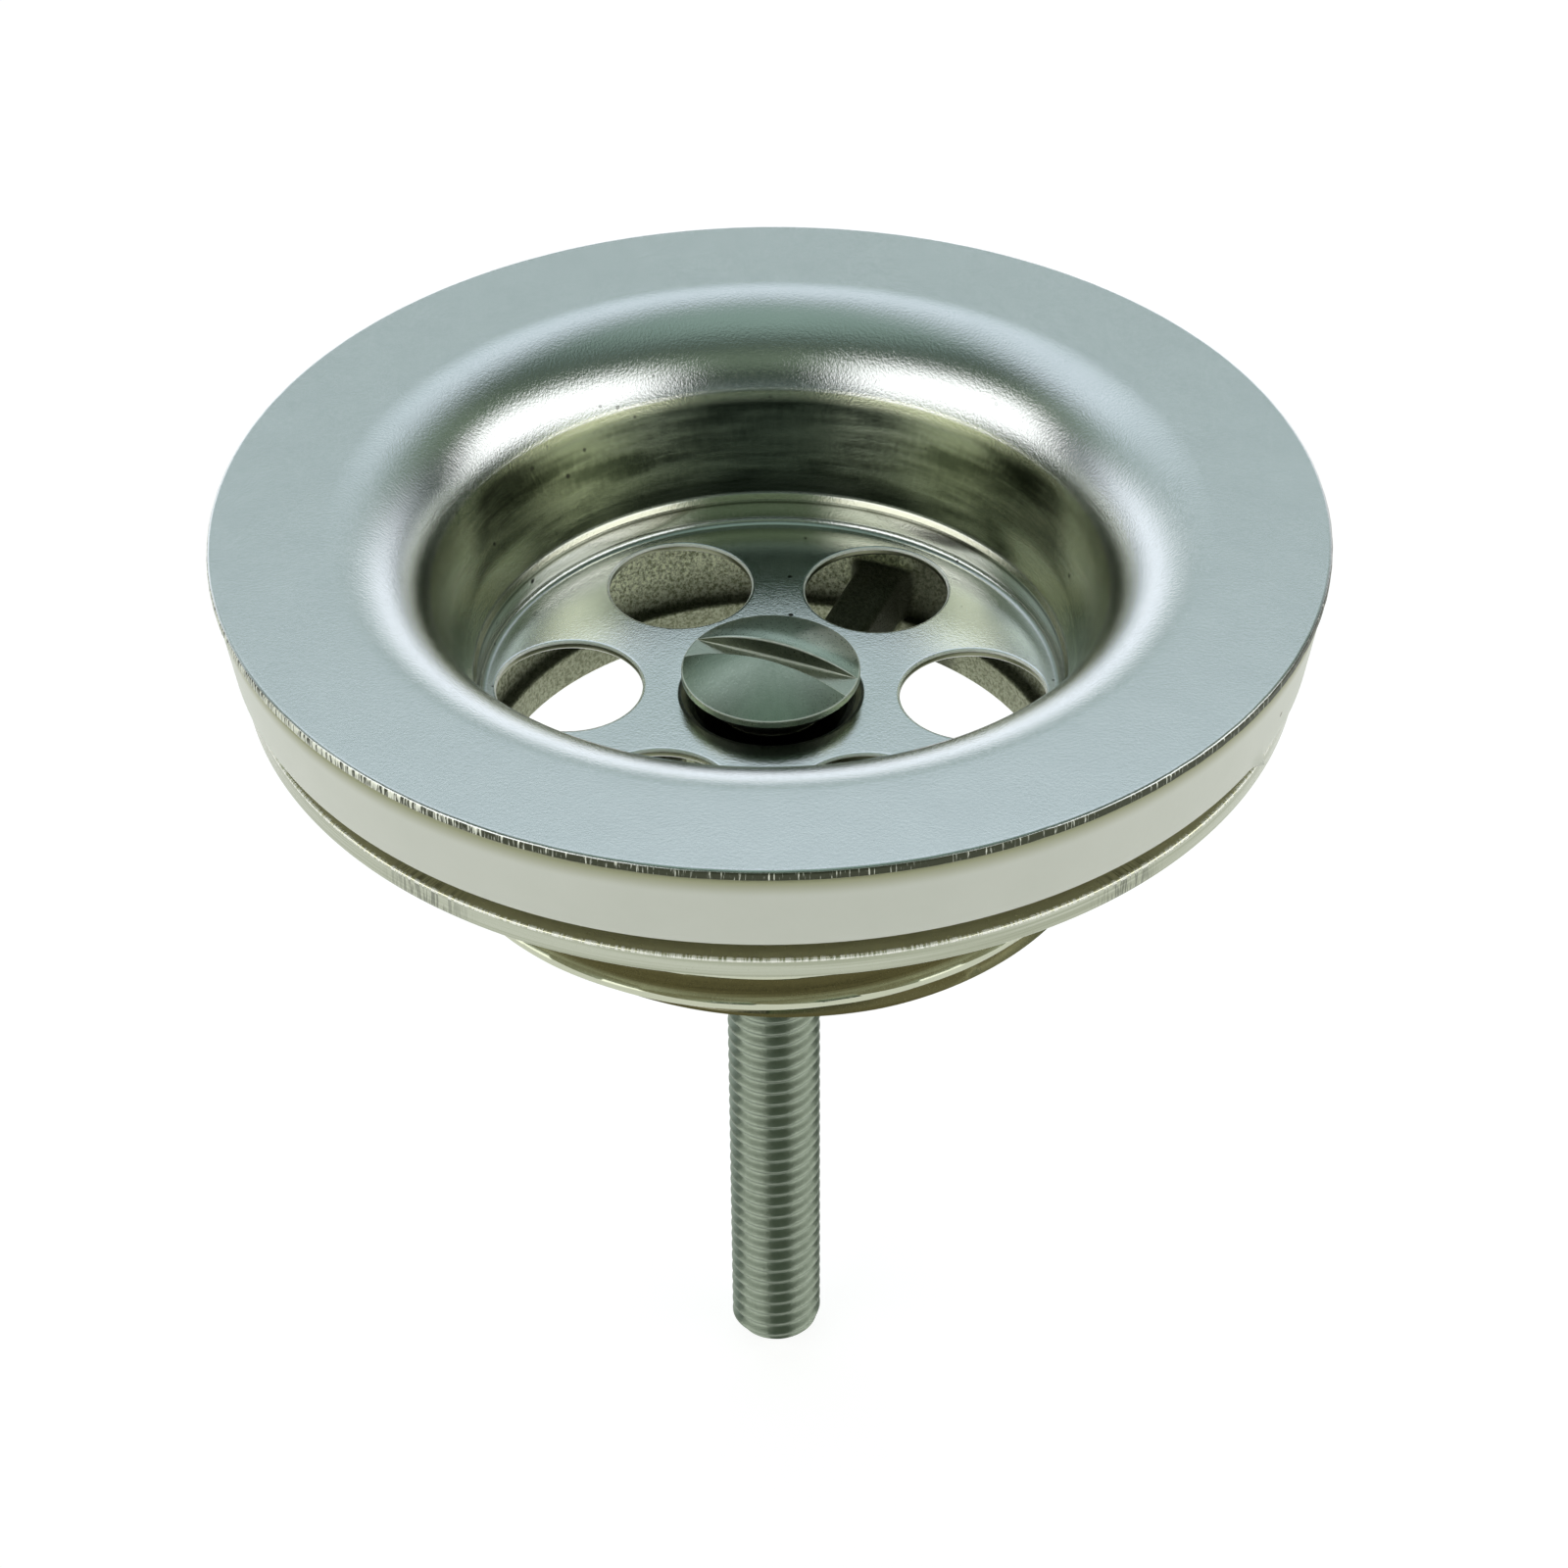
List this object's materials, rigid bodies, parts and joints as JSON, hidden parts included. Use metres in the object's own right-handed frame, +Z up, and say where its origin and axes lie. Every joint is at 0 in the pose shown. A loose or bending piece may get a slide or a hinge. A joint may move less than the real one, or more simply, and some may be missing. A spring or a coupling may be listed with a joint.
{
  "type": "basin waste",
  "caption": "Basin waste: a flanged strainer cup over a sealing ring and a threaded outlet body with inner arms, drawn together by a long slotted screw.",
  "frame": {"origin": "centre of the flange's underside, on the waste's axis, where the basin carries it", "axes": "+Z up along the screw's axis, out of the basin; +Y away from the viewer of the picture"},
  "size_m": [0.065, 0.065, 0.066],
  "materials": {
    "pressed_steel": "satin stainless steel sheet, polished in the plug seat",
    "seal": "smooth ivory moulding",
    "plated_casting": "nickel plated brass, turned outside and cast inside",
    "screw_steel": "dull satin"
  },
  "bodies": {
    "strainer": {"strainer_cup": "pressed_steel", "sealing_ring": "seal"},
    "screw": {"clamp_screw": "screw_steel"},
    "outlet": {"outlet_body": "plated_casting"}
  },
  "joints": [
    {"name": "screw_turn", "type": "hinge", "parent": "strainer", "child": "screw", "pos_m": [0, 0, 0], "axis": [0, 0, 1], "range_deg": [-504, 14400]},
    {"name": "body_travel", "type": "slide", "parent": "strainer", "child": "outlet", "axis": [0, 0, 1], "range_m": [-0.04, 0.0014]}
  ],
  "couplings": [
    {"joint": "screw_turn", "follows": "body_travel", "rad_per_m": -6283.2}
  ]
}
